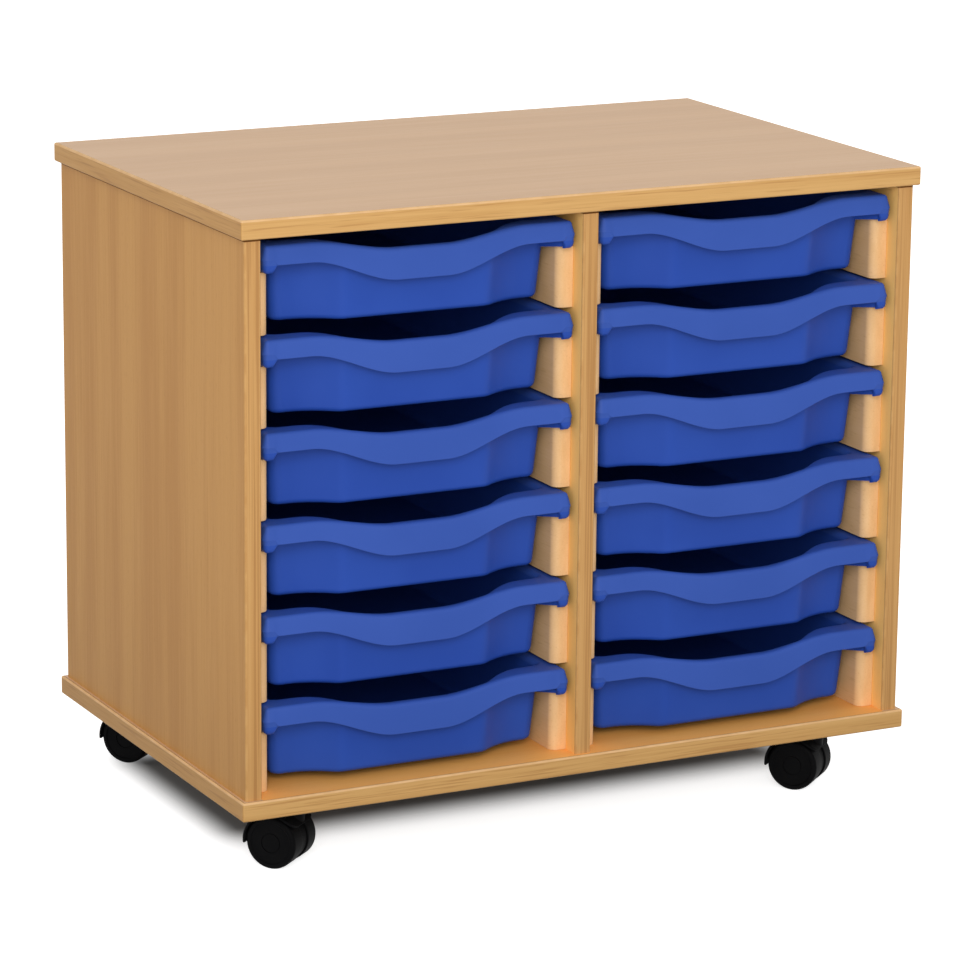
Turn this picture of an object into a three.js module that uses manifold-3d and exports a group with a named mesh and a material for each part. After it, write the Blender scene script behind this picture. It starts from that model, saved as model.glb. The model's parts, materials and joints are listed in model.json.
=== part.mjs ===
// A mobile classroom tray unit: a beech-faced cabinet on four twin-wheel castors, with two columns of six
// shallow trays that slide on solid beech runner blocks.
// Millimetres. The origin is on the floor under the middle of the cabinet, +X to the right, +Z up, and the
// open front faces -Y.
import * as THREE from "three";
import { mergeVertices } from "three/addons/utils/BufferGeometryUtils.js";
import Module from "manifold-3d";

const wasm = await Module();
wasm.setup();

// Cabinet
const WIDTH = 700;
const DEPTH = 450;
const CASTOR_HEIGHT = 64;
const CABINET_HEIGHT = 553;
const BOARD = 18; // top and base panels
const UPRIGHT = 16; // sides and divider
const OVERHANG = 5; // the top and base stand this far past the uprights all round
const BACK_BOARD = 6;
const EDGE_EASE = 1; // small bevel on the edged boards

// Runner blocks
const ROWS = 6;
const COLUMNS = 2;
const TRAY_PITCH = 85;
const RUNNER_HEIGHT = 57.2;
const RUNNER_THICK = 16;
const RUNNER_SETBACK = 19; // from the front edge of the uprights
const RUNNER_BACK_GAP = 2;
const RUNNER_ROUND = 8; // radius of the inner front edge

// Trays
const TRAY_HEIGHT = 75;
const TRAY_BOTTOM_RISE = 8; // lowest tray's floor above the base panel
const TRAY_WALL = 2.5;
const RIM_WIDTH = 312;
const RIM_LENGTH = 427;
const RIM_SETBACK = 9; // the front lip's ends behind the front edge of the top panel
const RIM_CORNER = 5;
const RIM_SKIRT = 25.5; // depth of the turned-down side rims
const HOOK_STEP = 3; // the lower part of the side rims and end tabs is set in by this much
const REAR_SKIRT = 10;
const REAR_LEDGE = 12; // rim beyond the tub at the back
const TUB_TOP_WIDTH = 280;
const TUB_BOTTOM_WIDTH = 268;
const TUB_LENGTH_DRAFT = 12;
const TUB_CORNER = 10;
const WALL_RECESS = 32; // end parts of the front wall behind the lip, at the tray's floor
const WALL_BULGE = 18; // the middle of the front wall stands this far forward of its ends
const BULGE_FLAT = 74; // half width of the flat middle of the front wall
const BULGE_FOOT = 119; // half width at which the bulge has died away
const LIP_HEIGHT = 17.5; // at the ends
const LIP_TOP_DIP = 10.5;
const LIP_BOTTOM_DIP = 21.5;
const LIP_BOW = 4; // the middle of the lip stands this far forward of its ends
const DIP_FLAT = 25; // half width of the low middle of the lip
const DIP_FOOT = 109; // half width at which the lip is back to full height
const LIP_TAB = 13; // width of the tab at each end of the lip
const RECESS_HALF = 133; // half width of the finger recess where its end walls meet the tub
const RECESS_DEPTH = 31; // from the lip's ends to where those end walls meet the tub
const CURVE_STEPS = 4; // straight pieces in each bend

// Castors
const CASTOR_INSET_X = 72;
const CASTOR_INSET_Y = 48;
const CASTOR_TURN = -140; // degrees: the axle's direction at rest, from +X
const CASTOR_TRAIL = 13;
const WHEEL_RADIUS = 25;
const WHEEL_INNER = 5.9; // inner face of a wheel, from the castor's middle plane
const WHEEL_OUTER = 23.5;
const WHEEL_ROUND = 3;
const HUB_RADIUS = 9;
const HUB_DISH = 1.2;
const AXLE_RADIUS = 4;
const AXLE_REACH = 18;
const RUNNING_GAP = 0.3;
const CUT_MARGIN = 1; // how far a cut runs past the face it opens
const HOOD_RADIUS = 29;
const HOOD_INNER = 26.3;
const HOOD_HALF_WIDTH = 23.8;
const HOOD_START = 35; // degrees about the axle, from the leading side over the top
const HOOD_END = 186;
const WEB_RADIUS = 19;
const WEB_HALF = 5.5;
const BOSS_RADIUS = 10;
const BOSS_FOOT = 47;
const BOSS_TOP = 59;
const STEM_RADIUS = 4;
const STEM_FOOT = 45;
const COLLAR_RADIUS = 9;
const PLATE_SIDE = 42;
const PLATE_THICK = 2.5;
const PLATE_CORNER = 5;
const WHEEL_SIDES = 20;
const ROUND_SIDES = 12;
const HOOD_STEPS = 5; // straight pieces in each arc of the hood's side view

// Fineness of the small curves
const CORNER_STEPS = 2; // straight pieces in each rounded corner
const MERGE_DISTANCE = 1e-4; // points closer than this are one

// Heights and planes that the sizes above give
const BASE_TOP = CASTOR_HEIGHT + BOARD;
const TOP_UNDERSIDE = CASTOR_HEIGHT + CABINET_HEIGHT - BOARD;
const UPRIGHT_FRONT = -DEPTH / 2 + OVERHANG;
const UPRIGHT_BACK = DEPTH / 2 - OVERHANG;
const SIDE_INNER = WIDTH / 2 - OVERHANG - UPRIGHT;
const BACK_FACE = UPRIGHT_BACK - BACK_BOARD;
const COLUMN_MIDDLE = (SIDE_INNER + UPRIGHT / 2) / 2;
const COLUMN_HALF = (SIDE_INNER - UPRIGHT / 2) / 2;

const beechBoard = new THREE.MeshStandardMaterial({ color: 0xd9b186, roughness: 0.5 });
const beechBlock = new THREE.MeshStandardMaterial({ color: 0xe3bd8c, roughness: 0.6 });
const trayBlue = new THREE.MeshStandardMaterial({ color: 0x2f4fa8, roughness: 0.4 });
const castorBlack = new THREE.MeshStandardMaterial({ color: 0x18181a, roughness: 0.35 });
const plateSteel = new THREE.MeshStandardMaterial({ color: 0x9a9a98, roughness: 0.4, metalness: 0.9 });

const unit = new THREE.Group();

// Adds one named piece to the unit, or to a group inside it.
function addPiece(name, geometry, material, parent = unit) {
  const piece = new THREE.Mesh(geometry, material);
  piece.name = name;
  parent.add(piece);
  return piece;
}

// A closed geometry as a solid that can be joined and cut.
function solidOf(geometry) {
  const bare = geometry.clone();
  bare.deleteAttribute("normal");
  bare.deleteAttribute("uv");
  const merged = mergeVertices(bare, MERGE_DISTANCE);
  const vertProperties = new Float32Array(merged.attributes.position.array);
  const triVerts = new Uint32Array(merged.index.array);
  return new wasm.Manifold(new wasm.Mesh({ numProp: 3, vertProperties, triVerts }));
}

// A finished solid as a geometry.
function geometryOf(solid) {
  const mesh = solid.getMesh();
  const geometry = new THREE.BufferGeometry();
  geometry.setAttribute("position", new THREE.BufferAttribute(mesh.vertProperties, 3));
  geometry.setIndex(new THREE.BufferAttribute(mesh.triVerts, 1));
  geometry.computeVertexNormals();
  return geometry;
}

// A box given by its low and high corners.
function boxBetween(low, high) {
  const size = high.map((value, i) => value - low[i]);
  const middle = high.map((value, i) => (value + low[i]) / 2);
  return new THREE.BoxGeometry(...size).translate(...middle);
}

// A flat plan raised from one height to another.
function raise(plan, low, high, curveSegments = 1) {
  const settings = { depth: high - low, bevelEnabled: false, curveSegments };
  return new THREE.ExtrudeGeometry(plan, settings).translate(0, 0, low);
}

// A shape drawn in X and Z, extruded from the plane Y = front to the plane Y = back.
function extrudeAlongY(shape, front, back) {
  return raise(shape, 0, back - front).rotateX(Math.PI / 2).translate(0, back, 0);
}

// A shape drawn in Y and Z, extruded from X = -half to X = half.
function extrudeAlongX(shape, half, curveSegments) {
  return raise(shape, -half, half, curveSegments).rotateY(Math.PI / 2).rotateX(Math.PI / 2);
}

function rectangle(x0, y0, x1, y1) {
  const corners = [[x0, y0], [x1, y0], [x1, y1], [x0, y1]];
  return new THREE.Shape(corners.map((corner) => new THREE.Vector2(...corner)));
}

// A rectangle with all four corners rounded.
function roundedRectangle(x0, y0, x1, y1, radius) {
  const shape = new THREE.Shape();
  shape.absarc(x1 - radius, y1 - radius, radius, 0, Math.PI / 2);
  shape.absarc(x0 + radius, y1 - radius, radius, Math.PI / 2, Math.PI);
  shape.absarc(x0 + radius, y0 + radius, radius, Math.PI, 1.5 * Math.PI);
  shape.absarc(x1 - radius, y0 + radius, radius, 1.5 * Math.PI, 2 * Math.PI);
  return shape;
}

// A flat board from its plan, with a small bevel along every edge.
function board(x0, y0, x1, y1, z0, z1) {
  const plan = rectangle(x0, y0, x1, y1);
  const geometry = new THREE.ExtrudeGeometry(plan, {
    depth: z1 - z0 - 2 * EDGE_EASE,
    bevelThickness: EDGE_EASE,
    bevelSize: EDGE_EASE,
    bevelOffset: -EDGE_EASE,
    bevelSegments: 1,
  });
  return geometry.translate(0, 0, z0 + EDGE_EASE);
}

// Cabinet: top and base lie over and under the uprights, and the thin back stands between the sides behind
// the divider.
const halfWidth = WIDTH / 2;
const halfDepth = DEPTH / 2;
const sideOuter = halfWidth - OVERHANG;
addPiece(
  "top_panel",
  board(-halfWidth, -halfDepth, halfWidth, halfDepth, TOP_UNDERSIDE, TOP_UNDERSIDE + BOARD),
  beechBoard,
);
addPiece(
  "base_panel",
  board(-halfWidth, -halfDepth, halfWidth, halfDepth, CASTOR_HEIGHT, BASE_TOP),
  beechBoard,
);
addPiece(
  "left_side",
  boxBetween([-sideOuter, UPRIGHT_FRONT, BASE_TOP], [-SIDE_INNER, UPRIGHT_BACK, TOP_UNDERSIDE]),
  beechBoard,
);
addPiece(
  "right_side",
  boxBetween([SIDE_INNER, UPRIGHT_FRONT, BASE_TOP], [sideOuter, UPRIGHT_BACK, TOP_UNDERSIDE]),
  beechBoard,
);
addPiece(
  "centre_divider",
  boxBetween([-UPRIGHT / 2, UPRIGHT_FRONT, BASE_TOP], [UPRIGHT / 2, BACK_FACE, TOP_UNDERSIDE]),
  beechBoard,
);
addPiece(
  "back_panel",
  boxBetween([-SIDE_INNER, BACK_FACE, BASE_TOP], [SIDE_INNER, UPRIGHT_BACK, TOP_UNDERSIDE]),
  beechBoard,
);

// Runner block: its outer face is against an upright, and its inner front edge is rounded to lead the tray in.
function runnerGeometry(side) {
  const front = UPRIGHT_FRONT + RUNNER_SETBACK;
  const back = BACK_FACE - RUNNER_BACK_GAP;
  const plan = new THREE.Shape();
  plan.moveTo(0, front);
  plan.lineTo(RUNNER_THICK - RUNNER_ROUND, front);
  plan.absarc(RUNNER_THICK - RUNNER_ROUND, front + RUNNER_ROUND, RUNNER_ROUND, -Math.PI / 2, 0);
  plan.lineTo(RUNNER_THICK, back);
  plan.lineTo(0, back);
  const solid = solidOf(raise(plan, 0, RUNNER_HEIGHT, CORNER_STEPS));
  return geometryOf(side < 0 ? solid : solid.mirror([1, 0, 0]));
}

// Grows from 0 at the foot to 1 at the flat, both given as distances from the middle.
function nearness(x, flat, foot) {
  return THREE.MathUtils.clamp((foot - Math.abs(x)) / (foot - flat), 0, 1);
}

// The wave of the lip, as a share: an S-curve from its full height down to the low middle.
function dipAt(x) {
  const share = nearness(x, DIP_FLAT, DIP_FOOT);
  return share * share * (3 - 2 * share);
}

// The swell of the front wall, as a share: it leaves the flat middle at a crease and dies away to the ends.
function bulgeAt(x) {
  return nearness(x, BULGE_FLAT, BULGE_FOOT) ** 2;
}

// Places across the tray where a curve with this flat and foot bends, from left to right.
function bendStations(flat, foot) {
  const right = [];
  for (let i = 0; i <= CURVE_STEPS; i++) {
    right.push(flat + ((foot - flat) * i) / CURVE_STEPS);
  }
  return [...right.map((x) => -x).reverse(), ...right];
}

const LIP_FRONT = -DEPTH / 2 + RIM_SETBACK;
const RIM_REAR = LIP_FRONT + RIM_LENGTH;
const RIM_HALF = RIM_WIDTH / 2;
const TAB_INNER = RIM_HALF - LIP_TAB;
const lipTop = (x) => TRAY_HEIGHT - LIP_TOP_DIP * dipAt(x);
const lipBottom = (x) => TRAY_HEIGHT - LIP_HEIGHT - LIP_BOTTOM_DIP * dipAt(x);
const lipStations = [-RIM_HALF, ...bendStations(DIP_FLAT, DIP_FOOT), RIM_HALF];

// The tub's plan at the tray's floor, drawn in by an inset for the inside of its wall.
function tubPlan(inset) {
  const half = TUB_BOTTOM_WIDTH / 2 - inset;
  const rear = RIM_REAR - REAR_LEDGE - TUB_LENGTH_DRAFT / 2 - inset;
  const corner = TUB_CORNER - inset;
  const ends = LIP_FRONT + WALL_RECESS + inset;
  const plan = new THREE.Shape();
  plan.absarc(half - corner, rear - corner, corner, 0, Math.PI / 2);
  plan.absarc(-half + corner, rear - corner, corner, Math.PI / 2, Math.PI);
  plan.absarc(-half + corner, ends + corner, corner, Math.PI, 1.5 * Math.PI);
  for (const x of bendStations(BULGE_FLAT, BULGE_FOOT)) {
    plan.lineTo(x, ends - WALL_BULGE * bulgeAt(x));
  }
  plan.absarc(half - corner, ends + corner, corner, 1.5 * Math.PI, 2 * Math.PI);
  return plan;
}

// The tub's plan raised from one height to another, with the moulding draft that widens it upwards.
function tubBlock(inset, low, high) {
  const geometry = raise(tubPlan(inset), low, high, CORNER_STEPS);
  const widen = TUB_TOP_WIDTH / TUB_BOTTOM_WIDTH - 1;
  const lengthen = TUB_LENGTH_DRAFT / RIM_LENGTH;
  const middle = (LIP_FRONT + RIM_REAR) / 2;
  const position = geometry.attributes.position;
  for (let i = 0; i < position.count; i++) {
    const share = position.getZ(i) / TRAY_HEIGHT;
    position.setX(i, position.getX(i) * (1 + widen * share));
    position.setY(i, middle + (position.getY(i) - middle) * (1 + lengthen * share));
  }
  return solidOf(geometry);
}

// Bows a piece of the front lip forward in the middle.
function bow(geometry) {
  const position = geometry.attributes.position;
  for (let i = 0; i < position.count; i++) {
    position.setY(i, position.getY(i) - LIP_BOW * dipAt(position.getX(i)));
  }
  return solidOf(geometry);
}

// A band across the front of the tray between two curves in X and Z.
function frontBand(upper, lower, front, back) {
  const points = lipStations.map((x) => new THREE.Vector2(x, upper(x)));
  const returning = lipStations.map((x) => new THREE.Vector2(x, lower(x))).reverse();
  return bow(extrudeAlongY(new THREE.Shape([...points, ...returning].reverse()), front, back));
}

// A block with the rim's plan, set in all round by some distance.
function rimBlock(inset, low, high) {
  const half = RIM_HALF - inset;
  const plan = roundedRectangle(-half, LIP_FRONT + inset, half, RIM_REAR - inset, RIM_CORNER);
  return solidOf(raise(plan, low, high));
}

// The rim all round the tray, cut from two blocks, the lower one set in: hollow below its flange, shallow at
// the back, and open at the front between the end tabs, where the lip closes it.
function rimSolid() {
  const step = TRAY_HEIGHT - LIP_HEIGHT;
  const flangeUnder = TRAY_HEIGHT - TRAY_WALL;
  const hookInside = HOOK_STEP + TRAY_WALL;
  const tabBack = LIP_FRONT + hookInside;
  const hollow = (inset, low) => boxBetween(
    [-RIM_HALF + inset, tabBack, low],
    [RIM_HALF - inset, RIM_REAR - inset, flangeUnder],
  );
  const frontOpening = boxBetween(
    [-TAB_INNER, LIP_FRONT - CUT_MARGIN, 0],
    [TAB_INNER, tabBack + CUT_MARGIN, flangeUnder],
  );
  const rearOpening = boxBetween(
    [-RIM_HALF, RIM_REAR - hookInside - CUT_MARGIN, 0],
    [RIM_HALF, RIM_REAR + CUT_MARGIN, TRAY_HEIGHT - REAR_SKIRT],
  );
  let rim = rimBlock(0, step, TRAY_HEIGHT).add(rimBlock(HOOK_STEP, TRAY_HEIGHT - RIM_SKIRT, flangeUnder));
  for (const cut of [hollow(TRAY_WALL, step + TRAY_WALL), hollow(hookInside, 0), frontOpening, rearOpening]) {
    rim = rim.subtract(solidOf(cut));
  }
  return rim;
}

// The wall at one end of the finger recess, from the inner edge of the end tab back to the tub's corner.
function recessEnd(side) {
  const corners = [
    [TAB_INNER, HOOK_STEP],
    [TAB_INNER + TRAY_WALL, HOOK_STEP],
    [RECESS_HALF + TRAY_WALL, RECESS_DEPTH],
    [RECESS_HALF, RECESS_DEPTH],
  ];
  const plan = new THREE.Shape(corners.map(([x, back]) => new THREE.Vector2(side * x, LIP_FRONT + back)));
  return solidOf(raise(plan, TRAY_HEIGHT - RIM_SKIRT, TRAY_HEIGHT - TRAY_WALL / 2));
}

// One moulded tray: a tub with a bulged front wall, side rims turned down to ride on the runners, and a waved
// front lip to pull it by, with a finger recess behind it.
function trayGeometry() {
  const flangeBack = LIP_FRONT + WALL_RECESS;
  const lip = frontBand(lipTop, lipBottom, LIP_FRONT, LIP_FRONT + TRAY_WALL);
  const flange = frontBand(lipTop, (x) => lipTop(x) - TRAY_WALL, LIP_FRONT, flangeBack);
  const sky = () => TRAY_HEIGHT + CUT_MARGIN;
  const aboveLip = frontBand(sky, lipTop, LIP_FRONT - CUT_MARGIN, flangeBack + WALL_RECESS);
  const outside = tubBlock(0, 0, TRAY_HEIGHT);
  const inside = tubBlock(TRAY_WALL, TRAY_WALL, TRAY_HEIGHT + CUT_MARGIN);
  const blank = outside.add(rimSolid()).add(recessEnd(-1)).add(recessEnd(1)).subtract(aboveLip);
  return geometryOf(blank.add(lip).add(flange).subtract(inside));
}

const trayShape = trayGeometry();
const runnerShapes = { left: runnerGeometry(-1), right: runnerGeometry(1) };
for (let column = 1; column <= COLUMNS; column++) {
  const middle = column === 1 ? -COLUMN_MIDDLE : COLUMN_MIDDLE;
  for (let row = 1; row <= ROWS; row++) {
    const shelf = BASE_TOP + TRAY_PITCH * (ROWS - row); // row 1 is at the top
    for (const side of ["left", "right"]) {
      const wall = side === "left" ? middle - COLUMN_HALF : middle + COLUMN_HALF;
      const runner = addPiece(`runner_c${column}_${side}_${row}`, runnerShapes[side], beechBlock);
      runner.position.set(wall, 0, shelf);
    }
    const tray = addPiece(`tray_c${column}_${row}`, trayShape, trayBlue);
    tray.position.set(middle, 0, shelf + TRAY_BOTTOM_RISE);
  }
}

// A lathed piece whose profile is given as distances along and out from the axle, which lies along X.
function turnedAlongX(profile) {
  const points = profile.map(([along, out]) => new THREE.Vector2(out, along));
  return new THREE.LatheGeometry(points, WHEEL_SIDES).rotateZ(-Math.PI / 2);
}

// Castor wheel on the +X side, solid, with a blind bore for the axle and a shallow dish round its hub.
function wheelGeometry() {
  const boreRadius = AXLE_RADIUS + RUNNING_GAP;
  const boreEnd = AXLE_REACH + RUNNING_GAP;
  return turnedAlongX([
    [boreEnd, 0],
    [boreEnd, boreRadius],
    [WHEEL_INNER, boreRadius],
    [WHEEL_INNER, WHEEL_RADIUS],
    [WHEEL_OUTER - WHEEL_ROUND, WHEEL_RADIUS],
    [WHEEL_OUTER, WHEEL_RADIUS - WHEEL_ROUND],
    [WHEEL_OUTER - HUB_DISH, HUB_RADIUS],
    [WHEEL_OUTER - HUB_DISH, 0],
  ]);
}

function cylinderAlongZ(radius, low, high) {
  const geometry = new THREE.CylinderGeometry(radius, radius, high - low, ROUND_SIDES);
  return geometry.rotateX(Math.PI / 2).translate(0, 0, (low + high) / 2);
}

function cylinderAlongX(radius, low, high, sides) {
  const geometry = new THREE.CylinderGeometry(radius, radius, high - low, sides);
  return geometry.rotateZ(Math.PI / 2).translate((low + high) / 2, 0, 0);
}

// Castor hood: a curved cover over both wheels, the web between them with the axle moulded on, and a boss
// that turns on the stem. The axle's middle is behind the stem by the trail.
function hoodGeometry() {
  const start = THREE.MathUtils.degToRad(HOOD_START);
  const end = THREE.MathUtils.degToRad(HOOD_END);
  const profile = new THREE.Shape();
  profile.absarc(0, 0, HOOD_RADIUS, start, end);
  profile.absarc(0, 0, WEB_RADIUS, end, start + 2 * Math.PI);
  const cover = solidOf(extrudeAlongX(profile, HOOD_HALF_WIDTH, HOOD_STEPS));
  const axle = solidOf(cylinderAlongX(AXLE_RADIUS, -AXLE_REACH, AXLE_REACH, ROUND_SIDES));
  const place = [0, -CASTOR_TRAIL, WHEEL_RADIUS];
  const boss = solidOf(cylinderAlongZ(BOSS_RADIUS, BOSS_FOOT, BOSS_TOP));
  const holeRadius = STEM_RADIUS + RUNNING_GAP;
  const holeFoot = STEM_FOOT - RUNNING_GAP;
  const stemHole = solidOf(cylinderAlongZ(holeRadius, holeFoot, BOSS_TOP + CUT_MARGIN));
  let hood = cover.translate(place).add(boss);
  const past = HOOD_HALF_WIDTH + CUT_MARGIN;
  for (const [low, high] of [[WEB_HALF, past], [-past, -WEB_HALF]]) {
    const wheelSpace = solidOf(cylinderAlongX(HOOD_INNER, low, high, WHEEL_SIDES));
    hood = hood.subtract(wheelSpace.translate(place));
  }
  return geometryOf(hood.add(axle.translate(place)).subtract(stemHole));
}

// Castor plate: screwed up under the base panel, with the collar and stem that the hood turns on.
function plateGeometry() {
  const half = PLATE_SIDE / 2;
  const plan = roundedRectangle(-half, -half, half, half, PLATE_CORNER);
  const plateFoot = CASTOR_HEIGHT - PLATE_THICK;
  const inPlate = plateFoot + PLATE_THICK / 2;
  const plate = solidOf(raise(plan, plateFoot, CASTOR_HEIGHT));
  const collar = solidOf(cylinderAlongZ(COLLAR_RADIUS, BOSS_TOP + RUNNING_GAP, inPlate));
  const stem = solidOf(cylinderAlongZ(STEM_RADIUS, STEM_FOOT, inPlate));
  return geometryOf(plate.add(collar).add(stem));
}

const wheelShape = wheelGeometry();
const hoodShape = hoodGeometry();
const plateShape = plateGeometry();
const castorX = WIDTH / 2 - CASTOR_INSET_X;
const castorY = DEPTH / 2 - CASTOR_INSET_Y;
for (const [end, y] of [["front", -castorY], ["rear", castorY]]) {
  for (const [side, x] of [["left", -castorX], ["right", castorX]]) {
    const name = `castor_${end}_${side}`;
    const plate = addPiece(`${name}_plate`, plateShape, plateSteel);
    plate.position.set(x, y, 0);
    const swivel = new THREE.Group();
    swivel.position.set(x, y, 0);
    swivel.rotation.z = THREE.MathUtils.degToRad(CASTOR_TURN);
    unit.add(swivel);
    addPiece(`${name}_hood`, hoodShape, castorBlack, swivel);
    for (const [letter, turn] of [["a", 0], ["b", Math.PI]]) {
      const wheel = addPiece(`${name}_wheel_${letter}`, wheelShape, castorBlack, swivel);
      wheel.position.set(0, -CASTOR_TRAIL, WHEEL_RADIUS);
      wheel.rotation.z = turn;
    }
  }
}

export default unit;
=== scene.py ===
"""A mobile classroom tray unit: a beech-faced cabinet on four castors, with two columns of six blue trays.

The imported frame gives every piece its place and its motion, and this script gives each one its finished
shape and surface. Metres, +Z up, the open front facing -Y.
"""
import json
import math

import bmesh
import bpy
from mathutils import Matrix, Vector


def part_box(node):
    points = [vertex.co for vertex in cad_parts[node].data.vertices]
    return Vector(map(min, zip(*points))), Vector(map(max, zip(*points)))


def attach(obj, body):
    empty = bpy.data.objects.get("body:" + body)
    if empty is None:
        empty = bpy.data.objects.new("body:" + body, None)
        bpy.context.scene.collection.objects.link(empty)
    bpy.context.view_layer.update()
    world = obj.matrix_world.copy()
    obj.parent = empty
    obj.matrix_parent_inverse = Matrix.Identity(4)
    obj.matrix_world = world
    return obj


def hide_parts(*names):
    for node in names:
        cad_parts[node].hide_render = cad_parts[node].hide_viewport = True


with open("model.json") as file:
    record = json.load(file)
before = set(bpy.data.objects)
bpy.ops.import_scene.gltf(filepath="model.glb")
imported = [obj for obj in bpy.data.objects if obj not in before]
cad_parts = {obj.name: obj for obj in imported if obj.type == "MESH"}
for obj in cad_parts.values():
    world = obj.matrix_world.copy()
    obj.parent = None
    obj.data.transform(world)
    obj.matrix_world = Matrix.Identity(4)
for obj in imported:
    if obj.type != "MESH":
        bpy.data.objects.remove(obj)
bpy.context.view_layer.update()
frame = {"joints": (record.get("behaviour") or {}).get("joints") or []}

# Top and base panels
# Two chipboard panels faced with printed beech paper. A 2 mm plastic edging strip is glued round all four
# edges and its arrises are rounded over. The uprights are dowelled between them.
MM = 0.001
EDGING = 2.0 * MM
ARRIS = 1.8 * MM
ARRIS_STEPS = 4


def srgb(red, green, blue):
    """A colour as it looks on screen, from 0 to 255, as the linear colour that a shader takes."""
    shares = [value / 255 for value in (red, green, blue)]
    linear = [s / 12.92 if s <= 0.04045 else ((s + 0.055) / 1.055) ** 2.4 for s in shares]
    return (*linear, 1.0)


class Value:
    """A shader socket that can stand in a sum: each operator adds one Math node."""

    def __init__(self, finish, socket):
        self.finish = finish
        self.socket = socket

    def maths(self, operation, first, second):
        return self.finish.node("Math", {"operation": operation}, {0: first, 1: second})

    def __add__(self, other):
        return self.maths("ADD", self, other)

    def __radd__(self, other):
        return self.maths("ADD", other, self)

    def __rsub__(self, other):
        return self.maths("SUBTRACT", other, self)

    def __mul__(self, other):
        return self.maths("MULTIPLY", self, other)


class Finish:
    """The nodes of one material, or of the world."""

    def __init__(self, owner):
        self.owner = owner
        owner.use_nodes = True
        self.tree = owner.node_tree
        self.tree.nodes.clear()

    def node(self, kind, settings, sockets, output=0):
        """Adds a node: its settings first, then the values or links of its sockets. Gives one output."""
        made = self.tree.nodes.new("ShaderNode" + kind)
        for name, setting in settings.items():
            setattr(made, name, setting)
        for key, value in sockets.items():
            if isinstance(value, Value):
                self.tree.links.new(value.socket, made.inputs[key])
            else:
                made.inputs[key].default_value = value
        return Value(self, made.outputs[output]) if made.outputs else None

    def mix(self, share, first, second):
        """A blend of two colours. A Mix node's colours are its inputs 6 and 7 and its output 2."""
        return self.node("Mix", {"data_type": "RGBA"}, {0: share, 6: first, 7: second}, output=2)

    def place(self):
        return self.node("TexCoord", {}, {}, output="Object")

    def noise(self, cells, detail=2.0, roughness=0.5, shift=(0, 0, 0)):
        """Noise with so many cells to the metre along X, Y and Z."""
        spot = self.node("Mapping", {}, {"Vector": self.place(), "Scale": cells, "Location": shift})
        settings = {"Vector": spot, "Scale": 1.0, "Detail": detail, "Roughness": roughness}
        return self.node("TexNoise", {}, settings)

    def between(self, value, low, high):
        """0 below low, 1 above high, and a smooth step in between."""
        sockets = {"Value": value, "From Min": low, "From Max": high}
        return self.node("MapRange", {"interpolation_type": "SMOOTHSTEP"}, sockets)

    def bump(self, height, depth):
        """A bump at full strength, this many metres deep."""
        return self.node("Bump", {}, {"Height": height, "Distance": depth, "Strength": 1.0})

    def surface(self, sockets):
        """Ends the material in one shader with these sockets."""
        shader = self.node("BsdfPrincipled", {}, sockets)
        self.node("OutputMaterial", {}, {"Surface": shader})
        return self.owner


def along_grain(axis, lengthwise, across):
    """Cells to the metre for a grain that runs along one axis."""
    return [lengthwise if i == axis else across for i in range(3)]


def beech_paper(name, axis, pale, deep, fleck, sheen):
    """Printed beech: broad soft bands, fine fibre and short dark flecks, under satin melamine."""
    finish = Finish(bpy.data.materials.new(name))
    bands = finish.noise(along_grain(axis, lengthwise=1.1, across=26), detail=3)
    fibre = finish.noise(along_grain(axis, lengthwise=9, across=330), detail=3, roughness=0.6)
    flecks = finish.noise(along_grain(axis, lengthwise=120, across=1150), detail=1)
    share = finish.between(bands * 0.7 + fibre * 0.3, 0.35, 0.65)
    wood = finish.mix(share, pale, deep)
    wood = finish.mix(finish.between(flecks, 0.62, 0.76) * 0.25, wood, fleck)
    return finish.surface({
        "Base Color": wood,
        "Roughness": 0.4 + fibre * 0.12,
        "Normal": finish.bump(fibre, 0.015 * MM),
        "Specular IOR Level": sheen,
    })


LINE_SOFTNESS, LINE_DEPTH = 0.16, 0.55


def beech_edging(name, axis, pale, deep, line, lengthwise, rarity):
    """Plastic edging printed with straight beech grain: close fibre under sparse dark lines."""
    finish = Finish(bpy.data.materials.new(name))
    bands = finish.noise(along_grain(axis, lengthwise=2.2, across=160), detail=2)
    fibre = finish.noise(along_grain(axis, lengthwise=14, across=900), detail=3, roughness=0.6)
    lines = finish.noise(along_grain(axis, lengthwise, across=520), detail=2, shift=(0.3, 0.7, 0.1))
    share = finish.between(bands * 0.6 + fibre * 0.4, 0.32, 0.68)
    wood = finish.mix(share, pale, deep)
    wood = finish.mix(finish.between(lines, rarity, rarity + LINE_SOFTNESS) * LINE_DEPTH, wood, line)
    return finish.surface({
        "Base Color": wood,
        "Roughness": 0.45 + fibre * 0.15,
        "Normal": finish.bump(fibre, 0.03 * MM),
        "Specular IOR Level": 0.2,
    })


def glued_joint_and_painted_shade(name):
    """Dull dark brown, a little uneven: the panels' glued joints, and painted shade along each
    upright's top.
    """
    finish = Finish(bpy.data.materials.new(name))
    smears = finish.noise((90, 90, 90), detail=3)
    return finish.surface({
        "Base Color": finish.mix(finish.between(smears, 0.3, 0.7), GLUE_AND_SHADE_PALE, GLUE_AND_SHADE_DEEP),
        "Roughness": 0.7 + smears * 0.2,
        "Specular IOR Level": 0.0,
    })


def arris_highlight_paint(name, pale, deep):
    """The rounded arris of the edging, streaked between two colours, without the edging's dark lines. Paler
    colours than the edging's make it a painted highlight.
    """
    finish = Finish(bpy.data.materials.new(name))
    streaks = finish.noise((60, 60, 60), detail=3)
    return finish.surface({
        "Base Color": finish.mix(finish.between(streaks, 0.3, 0.7), pale, deep),
        "Roughness": 0.5 + streaks * 0.15,
        "Specular IOR Level": 0.2,
    })


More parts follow.
